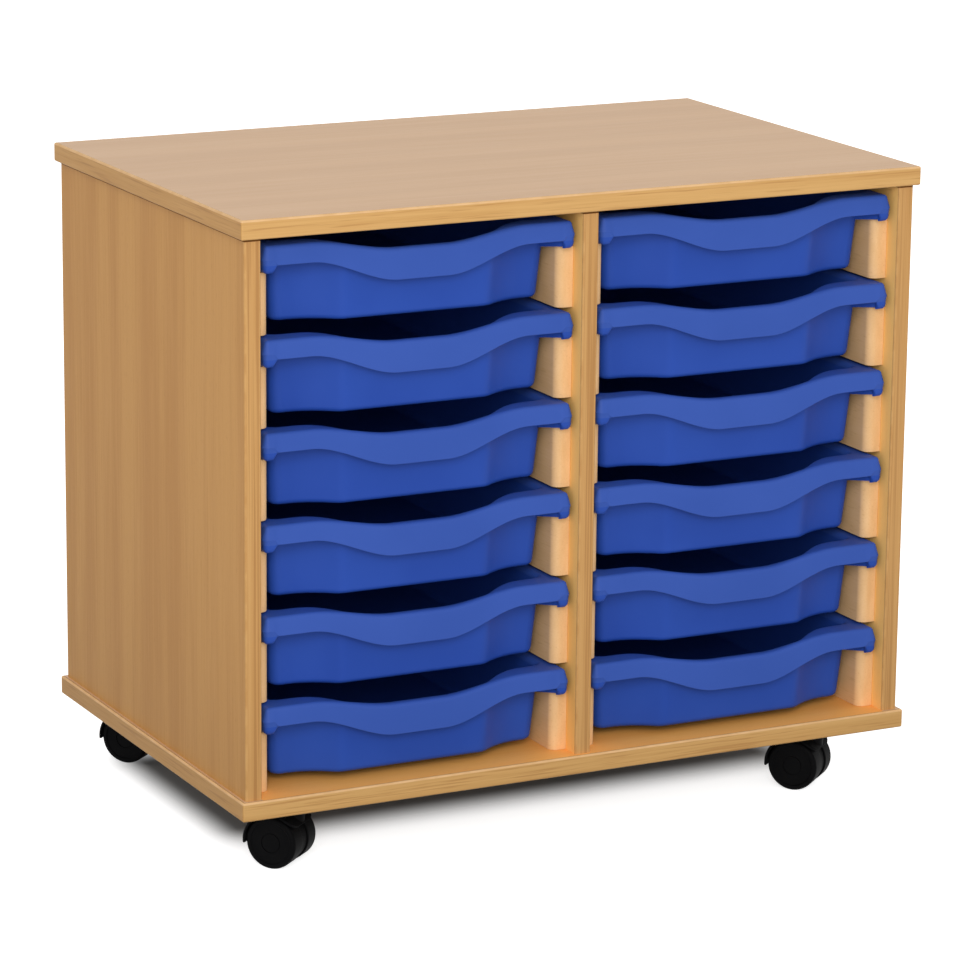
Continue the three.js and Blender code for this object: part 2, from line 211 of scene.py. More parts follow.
X_AXIS, Y_AXIS, Z_AXIS = 0, 1, 2
TOP_PALE, TOP_DEEP, TOP_FLECK = srgb(210, 170, 128), srgb(204, 163, 121), srgb(188, 144, 103)
# The base's inside paper: a brighter, warmer copy of the top's paper, painted light for bounced light.
BASE_LIT_PALE, BASE_LIT_DEEP, BASE_LIT_FLECK = srgb(255, 186, 102), srgb(252, 177, 92), srgb(222, 148, 78)
EDGE_PALE, EDGE_DEEP, EDGE_LINE = srgb(212, 167, 105), srgb(200, 153, 92), srgb(172, 122, 68)
END_PALE, END_DEEP, END_LINE = srgb(198, 151, 90), srgb(187, 139, 79), srgb(160, 112, 62)
# Dark brown for the panels' glued joints, and for the painted shade along the top of each upright.
GLUE_AND_SHADE_PALE, GLUE_AND_SHADE_DEEP = srgb(118, 76, 38), srgb(100, 62, 30)
# A paler edging colour: the painted highlight on the arrises that face up.
ARRIS_HIGHLIGHT_PALE, ARRIS_HIGHLIGHT_DEEP = srgb(226, 184, 133), srgb(216, 172, 119)
top_paper = beech_paper("beech_paper_top", X_AXIS, TOP_PALE, TOP_DEEP, TOP_FLECK, sheen=0.5)
base_paper_painted_light = beech_paper("beech_paper_base_painted_light", X_AXIS, BASE_LIT_PALE, BASE_LIT_DEEP, BASE_LIT_FLECK, sheen=0.1)
panel_arris_highlight = arris_highlight_paint("arris_highlight_paint", ARRIS_HIGHLIGHT_PALE, ARRIS_HIGHLIGHT_DEEP)
glue_and_painted_shade = glued_joint_and_painted_shade("glue_line_and_painted_shade")
PANEL_LINES = {"lengthwise": 14, "rarity": 0.54}
edging_x = beech_edging("beech_edging_x", X_AXIS, EDGE_PALE, EDGE_DEEP, EDGE_LINE, **PANEL_LINES)
edging_y = beech_edging("beech_edging_y", Y_AXIS, END_PALE, END_DEEP, END_LINE, **PANEL_LINES)


def new_block(low, high):
    """A bmesh box between two corners."""
    mesh = bmesh.new()
    size, middle = high - low, (high + low) / 2
    shape = Matrix.Translation(middle) @ Matrix.Diagonal((*size, 1))
    bmesh.ops.create_cube(mesh, size=1, matrix=shape)
    return mesh


def round_edges(mesh, edges, radius, steps):
    """Rounds these edges over, in so many flat steps."""
    bmesh.ops.bevel(
        mesh, geom=edges, offset=radius, offset_type="OFFSET", segments=steps, profile=0.5,
        affect="EDGES", clamp_overlap=True, material=-1,
    )


SMOOTH_ANGLE = math.radians(38)


def finish_piece(name, shape, materials, body, node):
    """Makes a bmesh, or a mesh that is ready, the piece that stands for a node and rides on a body."""
    mesh = shape
    if isinstance(shape, bmesh.types.BMesh):
        mesh = bpy.data.meshes.new(name)
        shape.to_mesh(mesh)
        shape.free()
    mesh.name = name
    for material in materials:
        mesh.materials.append(material)
    mesh.shade_smooth()
    mesh.set_sharp_from_angle(angle=SMOOTH_ANGLE)
    piece = bpy.data.objects.new(name, mesh)
    bpy.context.scene.collection.objects.link(piece)
    piece.modifiers.new("even_shading", "WEIGHTED_NORMAL").keep_sharp = True
    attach(piece, body)
    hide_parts(node)


def split(mesh, place, across):
    """Cuts every face that a plane crosses, and keeps both halves."""
    everything = mesh.verts[:] + mesh.edges[:] + mesh.faces[:]
    bmesh.ops.bisect_plane(mesh, geom=everything, plane_co=place, plane_no=across)


INSIDE_HALF, INSIDE_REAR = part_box("right_side")[0].x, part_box("back_panel")[0].y
PANEL_INSIDE, PANEL_LONG, PANEL_END, PANEL_ARRIS, PANEL_GLUE, PANEL_OUTSIDE = range(6)
SQUARE_ON, FACING_UP, WIDE_AREA = 0.99, 0.1, 0.01
TOP_GLUE, BASE_GLUE = 0.15 * MM, 0.6 * MM


def edge_material(normal):
    """Which of a panel's materials a face of its edges or arrises has."""
    # Up-facing arrises get the paler colour, a painted highlight where light from above catches them.
    if normal.z > FACING_UP:
        return PANEL_ARRIS
    return PANEL_LONG if abs(normal.y) > abs(normal.x) else PANEL_END


def flat_panel(low, high, joint):
    """A horizontal panel: edging along each edge, arrises with a painted highlight where they face up, a
    thin dark joint line and then the paper.

    The paper that faces up inside the cabinet can be a brighter, warmer copy, as on the base: painted
    light, for the light that bounces about in there.
    """
    mesh = new_block(low, high)
    round_edges(mesh, mesh.edges[:], ARRIS, ARRIS_STEPS)
    for face in mesh.faces:
        face.material_index = edge_material(face.normal)
    wide = [face for face in mesh.faces if abs(face.normal.z) > SQUARE_ON and face.calc_area() > WIDE_AREA]
    for material, thickness in ((PANEL_ARRIS, EDGING - ARRIS), (PANEL_GLUE, joint)):
        for face in bmesh.ops.inset_individual(mesh, faces=wide, thickness=thickness)["faces"]:
            face.material_index = material
    for face in wide:
        face.material_index = PANEL_INSIDE
    for x in (-INSIDE_HALF, INSIDE_HALF):
        split(mesh, (x, 0, 0), (1, 0, 0))
    split(mesh, (0, INSIDE_REAR, 0), (0, 1, 0))
    # Up-facing paper inside keeps slot 0, on the base the painted-light copy; the rest gets the top's
    # paper.
    for face in mesh.faces:
        middle = face.calc_center_median()
        inside = face.normal.z > 0 and abs(middle.x) < INSIDE_HALF and middle.y < INSIDE_REAR
        if face.material_index == PANEL_INSIDE and not inside:
            face.material_index = PANEL_OUTSIDE
    return mesh


for panel, paper, joint in (("top_panel", top_paper, TOP_GLUE), ("base_panel", base_paper_painted_light, BASE_GLUE)):
    finish_piece(panel + "_board", flat_panel(*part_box(panel), joint),
                 [paper, edging_x, edging_y, panel_arris_highlight, glue_and_painted_shade, top_paper], "cabinet", panel)

# Uprights
# The two sides and the centre divider are the same faced board stood on end, with its grain upright and
# edging on the front edge. They are glued and dowelled to the base and the top.
SIDE_PALE, SIDE_DEEP, SIDE_FLECK = srgb(203, 151, 87), srgb(190, 137, 75), srgb(165, 113, 59)
# The uprights' inside faces get a brighter, warmer copy of the side paper: painted bounced light.
INNER_LIT_PALE, INNER_LIT_DEEP, INNER_LIT_FLECK = srgb(255, 204, 124), srgb(254, 196, 112), srgb(230, 166, 92)
side_paper = beech_paper("beech_paper_side", Z_AXIS, SIDE_PALE, SIDE_DEEP, SIDE_FLECK, sheen=0.08)
inner_paper_painted_light = beech_paper("beech_paper_inner_painted_light", Z_AXIS, INNER_LIT_PALE, INNER_LIT_DEEP, INNER_LIT_FLECK, sheen=0.05)
FRONT_PALE, FRONT_DEEP, FRONT_LINE = srgb(204, 157, 98), srgb(192, 143, 85), srgb(158, 108, 58)
edging_z = beech_edging(
    "beech_edging_z", Z_AXIS, FRONT_PALE, FRONT_DEEP, FRONT_LINE, lengthwise=3, rarity=0.48,
)
# The uprights' arrises keep the edging's own colours, so only the lack of dark lines sets them apart.
upright_arris_edging = arris_highlight_paint("arris_highlight_paint_z", FRONT_PALE, FRONT_DEEP)
# How far down from its top an upright is painted dark brown: painted shade under the top's overhang.
PAINTED_SHADE_UNDER_TOP = 2.2 * MM
UPRIGHT_OUTSIDE, UPRIGHT_EDGE, UPRIGHT_ARRIS, UPRIGHT_INSIDE, UPRIGHT_PAINTED_SHADE = range(5)


def upright_edges(mesh):
    """The edges that run up and not level."""
    return [edge for edge in mesh.edges if abs(edge.verts[0].co.z - edge.verts[1].co.z) > MM]


def upright(low, high):
    """An upright board with its long edges rounded. The dark brown strip along its top, under the top
    panel's overhang, is painted shade.

    A side has one face outside the cabinet. Both faces of the divider are inside, and inside faces take
    the brighter, warmer copy of the paper, which is painted light.
    """
    outer = 1 if low.x > 0 else -1 if high.x < 0 else 0
    mesh = new_block(low, high)
    round_edges(mesh, upright_edges(mesh), ARRIS, ARRIS_STEPS)
    for reach in (low.y + EDGING, high.y - EDGING):
        split(mesh, (0, reach, 0), (0, 1, 0))
    # Its top strip, under the top panel's overhang, is painted dark brown as shade.
    split(mesh, (0, 0, high.z - PAINTED_SHADE_UNDER_TOP), (0, 0, 1))
    for face in mesh.faces:
        middle = face.calc_center_median()
        if middle.z > high.z - PAINTED_SHADE_UNDER_TOP:
            face.material_index = UPRIGHT_PAINTED_SHADE
        elif low.y + EDGING < middle.y < high.y - EDGING:
            face.material_index = UPRIGHT_OUTSIDE if face.normal.x * outer > 0 else UPRIGHT_INSIDE
        else:
            face.material_index = UPRIGHT_EDGE if abs(face.normal.y) > SQUARE_ON else UPRIGHT_ARRIS
    return mesh


for board in ("left_side", "right_side", "centre_divider"):
    finish_piece(board + "_board", upright(*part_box(board)),
                 [side_paper, edging_z, upright_arris_edging, inner_paper_painted_light, glue_and_painted_shade], "cabinet", board)

# Back board
# A thin board, faced on both sides with the same paper. It is let in between the two sides behind the trays
# and pinned to the divider and the panels, so it keeps the cabinet square.
BACK_EASE = 0.4 * MM
EASE_STEPS = 2
back = new_block(*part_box("back_panel"))
round_edges(back, back.edges[:], BACK_EASE, EASE_STEPS)
finish_piece("back_board", back, [side_paper], "cabinet", "back_panel")

# Runner blocks
# Twenty-four blocks of solid beech, planed and lacquered, screwed to the uprights in pairs. A tray hangs by
# its rims on each pair. The inner front corner is rounded so that a tray finds its way in.
ROWS, COLUMNS = 6, 2
LEAD_IN, LEAD_STEPS = 8 * MM, 8
BLOCK_EASE = 0.7 * MM
SHARP_ANGLE = math.radians(60)
BLOCK_PALE, BLOCK_DEEP, BLOCK_FLECK = srgb(240, 195, 141), srgb(231, 184, 128), srgb(208, 157, 102)


def solid_beech(name):
    """Solid beech sawn along Y: soft growth rings, fibre and the short flecks of its rays."""
    finish = Finish(bpy.data.materials.new(name))
    rings = finish.noise((150, 3, 40), detail=2)
    fibre = finish.noise((700, 16, 700), detail=3, roughness=0.65)
    flecks = finish.noise((500, 60, 500), detail=1)
    share = finish.between(rings * 0.6 + fibre * 0.4, 0.3, 0.7)
    wood = finish.mix(share, BLOCK_PALE, BLOCK_DEEP)
    wood = finish.mix(finish.between(flecks, 0.62, 0.74) * 0.3, wood, BLOCK_FLECK)
    return finish.surface({
        "Base Color": wood,
        "Roughness": 0.5 + fibre * 0.2,
        "Normal": finish.bump(fibre, 0.03 * MM),
        "Specular IOR Level": 0.25,
    })


block_beech = solid_beech("lacquered_beech")


def sharp_edges(mesh):
    return [edge for edge in mesh.edges if edge.calc_face_angle(0) > SHARP_ANGLE]


def runner_block(low, high, inner):
    """A block whose upright edge at the front, on its inner side, is rounded."""
    mesh = new_block(low, high)
    middle = (low + high) / 2
    leading = [
        edge for edge in mesh.edges
        if all(v.co.y < middle.y and (v.co.x - middle.x) * inner > 0 for v in edge.verts)
    ]
    round_edges(mesh, leading, LEAD_IN, LEAD_STEPS)
    round_edges(mesh, sharp_edges(mesh), BLOCK_EASE, EASE_STEPS)
    return mesh


for column in range(1, COLUMNS + 1):
    for row in range(1, ROWS + 1):
        for side, inner in (("left", 1), ("right", -1)):
            node = f"runner_c{column}_{side}_{row}"
            block = runner_block(*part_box(node), inner)
            finish_piece(f"{node}_block", block, [block_beech], "cabinet", node)

# Trays
# Shallow trays moulded in one piece from blue plastic, 2.5 mm thick. The tub's front wall bulges in the
# middle, the rim turns down all round to ride on the blocks, and its waved front lip is the handle.
WALL = 2.5 * MM
TUB_TOP_HALF, TUB_FLOOR_HALF = 140 * MM, 134 * MM
TUB_CORNER = 10 * MM
TUB_DRAFT = 5.5 * MM
FLOOR_FILLET = 5 * MM
WALL_RECESS, WALL_BULGE = 32 * MM, 18 * MM
BULGE_FLAT, BULGE_FOOT, CREASE = 74 * MM, 119 * MM, 3 * MM
REAR_LEDGE, REAR_SKIRT = 18 * MM, 10 * MM
INNER_ROUND = 5 * MM
RIM_CORNER, RIM_ROUND, LEAN = 6 * MM, 4 * MM, 2.6 * MM
LIP_HEIGHT, LIP_BOW, LIP_EASE = 17.5 * MM, 4 * MM, 0.8 * MM
LIP_TOP_DIP, LIP_FOOT_DIP = 10.5 * MM, 21.5 * MM
DIP_FLAT, DIP_FOOT, DIP_START = 25 * MM, 109 * MM, 10 * MM
TIP_DROP = 12.6 * MM
HOOK_STEP, HOOK_DROP, HOOK_THICK, HOOK_ROUND = 1 * MM, 8 * MM, 6 * MM, 5.2 * MM
TAB_INNER, TAB_FILLET = 146.5 * MM, 5 * MM
FIRST_EASE, UNDER_EASE = 0.3 * LIP_EASE, 0.6 * WALL
LEAST_CORNER = 0.5 * MM
CORNER_STEPS = 6
FRONT_RUNS = ((-1, -0.9, 20), (-0.9, 0.9, 64), (0.9, 1, 20))
MERGE = 0.01 * MM
QUARTER = [math.radians(angle) for angle in (0, 30, 60, 90)]

tray_low, tray_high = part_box("tray_c1_1")
TRAY_HEIGHT = tray_high.z - tray_low.z
RIM_HALF = (tray_high.x - tray_low.x) / 2
RIM_REAR = tray_high.y
LIP_FRONT = tray_low.y + LIP_BOW

# Stations round the tray, seen from above: each corner's arc, then the front from left to right, closer
# together where the lip ends in a tab.
stations = []
for side_x, side_y, start in ((1, -1, -90), (1, 1, 0), (-1, 1, 90), (-1, -1, 180)):
    for step in range(CORNER_STEPS + 1):
        stations.append((side_x, side_y, math.radians(start + 90 * step / CORNER_STEPS)))
for start, end, steps in FRONT_RUNS:
    for step in range(steps):
        if start + step > -1:
            stations.append((start + (end - start) * step / steps, -1, None))


def blend(low, high, share):
    return low + (high - low) * share


def nearness(value, flat, foot):
    """1 up to the flat and 0 past the foot, both as distances from the middle."""
    return min(max((foot - abs(value)) / (foot - flat), 0), 1)


def eased(value, flat, foot):
    """The same with a smooth start and end."""
    share = nearness(value, flat, foot)
    return share * share * (3 - 2 * share)


def bulge(value):
    """How far the front wall stands out: flat in the middle, a soft crease, and a curve that dies away."""
    shares = [nearness(value + step, BULGE_FLAT, BULGE_FOOT) ** 2 for step in (-CREASE, 0, CREASE)]
    return sum(shares) / len(shares)


def on_oblong(station, half, front, rear, radius):
    """A station's X and Y on an oblong with round corners."""
    side_x, side_y, angle = station
    if angle is None:
        return side_x * (half - radius), front
    end = front + radius if side_y < 0 else rear - radius
    return side_x * (half - radius) + radius * math.cos(angle), end + radius * math.sin(angle)


def tub(station, inset, height):
    """A point on the tub's wall, this far in from its outer face."""
    share = height / TRAY_HEIGHT
    half = blend(TUB_FLOOR_HALF, TUB_TOP_HALF, share) - inset
    front = LIP_FRONT + WALL_RECESS - TUB_DRAFT * share + inset
    rear = RIM_REAR - REAR_LEDGE + TUB_DRAFT * share - inset
    x, y = on_oblong(station, half, front, rear, TUB_CORNER - inset)
    if station[2] is None:
        y -= WALL_BULGE * bulge(x)
        share_of_dip = max(0, (height - DIP_START) / (TRAY_HEIGHT - DIP_START))
        height -= LIP_TOP_DIP * eased(x, DIP_FLAT, DIP_FOOT) * share_of_dip
    return Vector((x, y, height))


def rim(station, section):
    """A point on the rim. For a face of some height and a share of hook, section gives its inset and drop.

    The face is higher in the middle of the front and lower at the back. The hook under it runs along the
    sides and ends in a tab at each end of the front.
    """
    side_x, side_y, angle = station
    across = side_x * (RIM_HALF - RIM_CORNER)
    dip, hook, at_back = 0, 1, 0
    if angle is None:
        dip = eased(across, DIP_FLAT, DIP_FOOT)
        hook = 1 - eased(across, TAB_INNER - TAB_FILLET, TAB_INNER)
    elif side_y > 0:
        at_back = math.sin(angle) ** 2
        hook = 1 - at_back
    face = blend(LIP_HEIGHT, REAR_SKIRT, at_back) + (LIP_FOOT_DIP - LIP_TOP_DIP) * dip
    inset, drop = section(face, hook)
    corner = max(RIM_CORNER - inset, LEAST_CORNER)
    x, y = on_oblong(station, RIM_HALF - inset, LIP_FRONT + inset, RIM_REAR - inset, corner)
    return Vector((x, y - LIP_BOW * dip, TRAY_HEIGHT - LIP_TOP_DIP * dip - drop))


def rim_rings():
    """The rim's section, from its rounded top down its face, round the hook and up inside."""
    for a in QUARTER:
        inset, drop = LEAN + RIM_ROUND * (1 - math.sin(a)), RIM_ROUND * (1 - math.cos(a))
        yield lambda face, hook, i=inset, d=drop: (i, d)
    yield lambda face, hook: (0, blend(face - LIP_EASE, TIP_DROP, hook))
    yield lambda face, hook: (FIRST_EASE, blend(face - FIRST_EASE, TIP_DROP + FIRST_EASE, hook))
    yield lambda face, hook: (blend(LIP_EASE, HOOK_STEP, hook), face)
    corner = [(1 - math.cos(a), math.sin(a) - 1) for a in QUARTER]
    hooked = [(HOOK_STEP + HOOK_ROUND * i, HOOK_DROP + HOOK_ROUND * d) for i, d in corner]
    hooked.append((HOOK_STEP + HOOK_THICK, HOOK_DROP))
    for number, (inset, down) in enumerate(hooked, 1):
        plain = blend(LIP_EASE, WALL, number / len(hooked))
        yield lambda face, hook, p=plain, i=inset, d=down: (blend(p, i, hook), face + d * hook)
    inside = HOOK_STEP + HOOK_THICK
    yield lambda face, hook: (blend(WALL, inside, hook), face - LIP_EASE)
    yield lambda face, hook: (blend(LEAN + WALL, inside, hook), WALL + UNDER_EASE)
    yield lambda face, hook: (blend(LEAN + WALL, inside, hook) + UNDER_EASE, WALL)


def tray_rings():
    """The tray's section, from the floor inside, over the rim and back to the floor underneath."""
    for a in QUARTER:
        inset, up = FLOOR_FILLET * (1 - math.sin(a)), FLOOR_FILLET * (1 - math.cos(a))
        yield lambda s, i=inset, h=up: tub(s, WALL + i, WALL + h)
    for a in QUARTER:
        inset, down = INNER_ROUND * (1 - math.cos(a)), INNER_ROUND * (1 - math.sin(a))
        yield lambda s, i=inset, d=down: tub(s, WALL - i, TRAY_HEIGHT - d)
    for section in rim_rings():
        yield lambda s, section=section: rim(s, section)
    under = INNER_ROUND - WALL
    for a in reversed(QUARTER):
        inset, down = under * (1 - math.cos(a)), INNER_ROUND - under * math.sin(a)
        yield lambda s, i=inset, d=down: tub(s, -i, TRAY_HEIGHT - d)
    for a in reversed(QUARTER):
        inset, up = FLOOR_FILLET * (1 - math.sin(a)), FLOOR_FILLET * (1 - math.cos(a))
        yield lambda s, i=inset, h=up: tub(s, i, h)


WEB_FRONT, WEB_REAR = (148 * MM, 4 * MM), (133 * MM, 31 * MM)
WEB_THICK, WEB_EASE, WEB_LIFT, WEB_SLOPE = 2.5 * MM, 0.6 * MM, 2 * MM, 3.5 * MM


def add_web(mesh, side):
    """The end wall of the hollow behind the lip, from the tab back to the corner of the tub."""
    ends = [Vector((side * x, LIP_FRONT + y, 0)) for x, y in (WEB_FRONT, WEB_REAR)]
    run = ends[1] - ends[0]
    low, high = TRAY_HEIGHT - LIP_HEIGHT - HOOK_DROP + WEB_LIFT, TRAY_HEIGHT - WALL / 2
    middle = (ends[0] + ends[1]) / 2 + Vector((0, 0, (low + high) / 2))
    turn = Matrix.Rotation(math.atan2(run.y, run.x), 4, "Z")
    shape = Matrix.Translation(middle) @ turn @ Matrix.Diagonal((run.length, WEB_THICK, high - low, 1))
    web = bmesh.ops.create_cube(mesh, size=1, matrix=shape)["verts"]
    for vert in web:
        if vert.co.y > middle.y and vert.co.z < middle.z:
            vert.co.z -= WEB_SLOPE
    round_edges(mesh, list({edge for vert in web for edge in vert.link_edges}), WEB_EASE, EASE_STEPS)


# The rings of the section whose faces have the rim's matt finish and its paler blue, painted light:
# the rounded top and the face of the lip. The hook, tab and webs below keep the tub's deeper blue,
# painted shade.
LIT_RIM_RINGS = range(len(QUARTER) + 1, 3 * len(QUARTER) + 3)
SHADED_TUB_SLOT, LIT_RIM_SLOT = 0, 1


def moulded_tray():
    """Extrudes a ring of edges along the tray's section, and closes the floor inside and underneath."""
    mesh = bmesh.new()
    number = mesh.verts.layers.int.new("station")
    ring = bmesh.ops.create_circle(mesh, segments=len(stations), radius=1, cap_ends=True)["verts"]
    for i, vert in enumerate(ring):
        vert[number] = i
    edges = mesh.edges[:]
    for i, place in enumerate(tray_rings()):
        if i > 0:
            made = bmesh.ops.extrude_edge_only(mesh, edges=edges)["geom"]
            edges = [item for item in made if isinstance(item, bmesh.types.BMEdge)]
            ring = [item for item in made if isinstance(item, bmesh.types.BMVert)]
        for vert in ring:
            vert.co = place(stations[vert[number]])
        for face in {face for edge in edges for face in edge.link_faces}:
            # The lit rim rings take the paler copy, painted light; the rest take the deeper copy, painted
            # shade.
            face.material_index = LIT_RIM_SLOT if i in LIT_RIM_RINGS else SHADED_TUB_SLOT
    bmesh.ops.contextual_create(mesh, geom=edges)
    bmesh.ops.remove_doubles(mesh, verts=mesh.verts[:], dist=MERGE)
    for side in (-1, 1):
        add_web(mesh, side)
    bmesh.ops.recalc_face_normals(mesh, faces=mesh.faces[:])
    made = bpy.data.meshes.new("moulded_tray")
    mesh.to_mesh(made)
    mesh.free()
    return made


# One plastic in a lit and a shaded copy: the tub's deeper blue is painted shade on the walls, hook, tab and
# webs, and the rim's paler blue is painted light on the lip. They also differ in roughness and sheen.
TUB_SHADED_BLUE, TUB_SHADED_DEEP = srgb(40, 76, 167), srgb(37, 72, 162)
RIM_LIT_BLUE, RIM_LIT_DEEP = srgb(49, 82, 167), srgb(46, 79, 163)


def moulded_plastic(name, blue, deep, roughness, grain, sheen):
    """Blue plastic: a faint cloudiness from moulding and the fine grain of the mould."""
    finish = Finish(bpy.data.materials.new(name))
    clouds = finish.noise((9, 9, 9), detail=3)
    skin = finish.noise((1500, 1500, 1500), detail=2)
    return finish.surface({
        "Base Color": finish.mix(finish.between(clouds, 0.35, 0.65), blue, deep),
        "Roughness": roughness + clouds * 0.1,
        "Normal": finish.bump(skin, grain),
        "Specular IOR Level": sheen,
    })


shaded_tub_plastic = moulded_plastic(
    "satin_blue_tub_painted_shade", TUB_SHADED_BLUE, TUB_SHADED_DEEP, roughness=0.4, grain=0.006 * MM, sheen=0.15,
)
lit_rim_plastic = moulded_plastic(
    "matt_blue_rim_painted_light", RIM_LIT_BLUE, RIM_LIT_DEEP, roughness=0.55, grain=0.02 * MM, sheen=0.25,
)
tray_mesh = moulded_tray()
for column in range(1, COLUMNS + 1):
    for row in range(1, ROWS + 1):
        node = f"tray_c{column}_{row}"
        low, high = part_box(node)
        mesh = tray_mesh.copy()
        mesh.transform(Matrix.Translation(((low.x + high.x) / 2, 0, low.z)))
        finish_piece(f"{node}_moulding", mesh, [shaded_tub_plastic, lit_rim_plastic], node, node)

# Castor plates
# A pressed steel plate is screwed up under the base at each corner. The stem that the castor turns on is
# riveted through its middle, with a collar under it.
PLATE_THICK, PLATE_CORNER, PLATE_EASE = 2.5 * MM, 5 * MM, 0.5 * MM
PLATE_STEPS, ROUND_SIDES = 6, 32
COLLAR_RADIUS, COLLAR_DEEP = 9 * MM, 2.2 * MM
STEM_RADIUS, STEM_FOOT = 4 * MM, 45 * MM
SCREW_RADIUS, SCREW_DEEP, SCREW_PLACE = 3.6 * MM, 2 * MM, 15 * MM
SCREW_SIDES, SCREW_ROUND, SCREW_STEPS = 18, 0.8 * SCREW_DEEP, 4
SOCKET_EDGE, SOCKET_DEEP = 0.1 * MM, 1.2 * MM
MOSTLY_ON = 0.9
STEEL_PALE, STEEL_DULL = srgb(196, 196, 190), srgb(168, 169, 166)


def plated_steel(name):
    """Zinc-plated steel: a cloudy spangle, duller where the plating is thicker."""
    finish = Finish(bpy.data.materials.new(name))
    spangle = finish.noise((160, 160, 160), detail=2)
    return finish.surface({
        "Base Color": finish.mix(finish.between(spangle, 0.35, 0.65), STEEL_PALE, STEEL_DULL),
        "Metallic": 1.0,
        "Roughness": 0.3 + spangle * 0.15,
    })


def add_round(mesh, radius, low, high, x=0, y=0, steps=ROUND_SIDES):
    """Adds an upright round bar between two heights."""
    shape = Matrix.Translation((x, y, (low + high) / 2))
    return bmesh.ops.create_cone(
        mesh, cap_ends=True, segments=steps, radius1=radius, radius2=radius, depth=high - low, matrix=shape,
    )["verts"]


def faces_of(verts):
    return {face for vert in verts for face in vert.link_faces}


def edges_of(faces):
    return list({edge for face in faces for edge in face.edges})


def castor_plate(low, high):
    """The plate with its collar, stem and screw heads, about the stem's axis."""
    middle = (low + high) / 2
    top = high.z
    under = top - PLATE_THICK
    half = (high.x - low.x) / 2
    mesh = new_block(Vector((-half, -half, under)), Vector((half, half, top)))
    round_edges(mesh, upright_edges(mesh), PLATE_CORNER, PLATE_STEPS)
    round_edges(mesh, sharp_edges(mesh), PLATE_EASE, EASE_STEPS)
    add_round(mesh, COLLAR_RADIUS, under - COLLAR_DEEP, under)
    add_round(mesh, STEM_RADIUS, STEM_FOOT, under)
    for x in (-SCREW_PLACE, SCREW_PLACE):
        for y in (-SCREW_PLACE, SCREW_PLACE):
            head = add_round(mesh, SCREW_RADIUS, under - SCREW_DEEP, under, x, y, steps=SCREW_SIDES)
            below = [face for face in faces_of(head) if face.normal.z < -MOSTLY_ON]
            round_edges(mesh, edges_of(below), SCREW_ROUND, SCREW_STEPS)
            flat = [
                face for face in mesh.faces
                if face.normal.z < -SQUARE_ON and len(face.verts) == SCREW_SIDES
                and (face.calc_center_median().xy - Vector((x, y))).length < MM
            ]
            bmesh.ops.inset_region(mesh, faces=flat, thickness=SOCKET_EDGE)
            bmesh.ops.translate(mesh, verts=flat[0].verts[:], vec=(0, 0, SOCKET_DEEP))
    bmesh.ops.translate(mesh, verts=mesh.verts[:], vec=(middle.x, middle.y, 0))
    return mesh


plated = plated_steel("zinc_plated_steel")
CASTORS = [f"castor_{end}_{side}" for end in ("front", "rear") for side in ("left", "right")]
for castor in CASTORS:
    plate = castor_plate(*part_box(f"{castor}_plate"))
    finish_piece(f"{castor}_plate_pressing", plate, [plated], "cabinet", f"{castor}_plate")

# Castor hoods and wheels
# Black nylon mouldings. The hood covers the top of the wheels and turns on the stem, with a web down its
# middle that carries the axle. The two wheels snap onto its ends and turn freely. Millimetres and degrees.
TRAIL, WHEEL_RADIUS = 13, 25
HOOD_START, HOOD_SWEEP = 35, 151
HOOD_OUT, HOOD_IN, HOOD_HALF, HOOD_CORNER = 29, 26.3, 23.8, 12
HOOD_ROUND, HOOD_STEPS, HOOD_EASE = 2.2, 4, 0.5
WEB_IN, WEB_OUT, WEB_DISC, WEB_HALF = 4, 27.6, 23.4, 5.5
DISC_HALF = WEB_HALF - 0.1
BOSS_RADIUS, BOSS_SEAT, BOSS_TOP, BOSS_ROUND, BOSS_STEPS = 10, 28.2, 59, 1, 3
AXLE_RADIUS, AXLE_HALF = 4, 18
WHEEL_IN, WHEEL_OUT, BORE, BORE_END = 5.9, 23.5, 4.3, 18.3
TREAD_ROUND, TREAD_STEPS, INNER_TREAD_ROUND, INNER_TREAD_STEPS = 3, 5, 1, 3
WHEEL_OUTLINE = [
    (BORE_END, 0), (BORE_END, BORE), (WHEEL_IN, BORE),  # the blind bore for the axle
    (WHEEL_IN, WHEEL_RADIUS), (WHEEL_OUT, WHEEL_RADIUS),  # the tread
    (WHEEL_OUT, 20.5), (22.6, 19.6), (22.6, 9.6),  # the dished face
    (21.8, 9.6), (21.8, 8.8), (22.5, 8.8), (22.9, 0),  # the groove and the hub cap
]
NYLON, NYLON_DEEP = srgb(10, 10, 11), srgb(7, 7, 8)


def black_nylon(name):
    """Black nylon: a fine moulded grain and a dull sheen."""
    finish = Finish(bpy.data.materials.new(name))
    clouds = finish.noise((40, 40, 40), detail=3)
    skin = finish.noise((1300, 1300, 1300), detail=2)
    return finish.surface({
        "Base Color": finish.mix(finish.between(clouds, 0.35, 0.65), NYLON, NYLON_DEEP),
        "Roughness": 0.5 + clouds * 0.12,
        "Normal": finish.bump(skin, 0.02 * MM),
        "Specular IOR Level": 0.04,
    })


SPIN_STEP = 4
SEAM, NEAR_ALONG, NEAR_OUT = 0.001 * MM, 0.01 * MM, 0.1 * MM


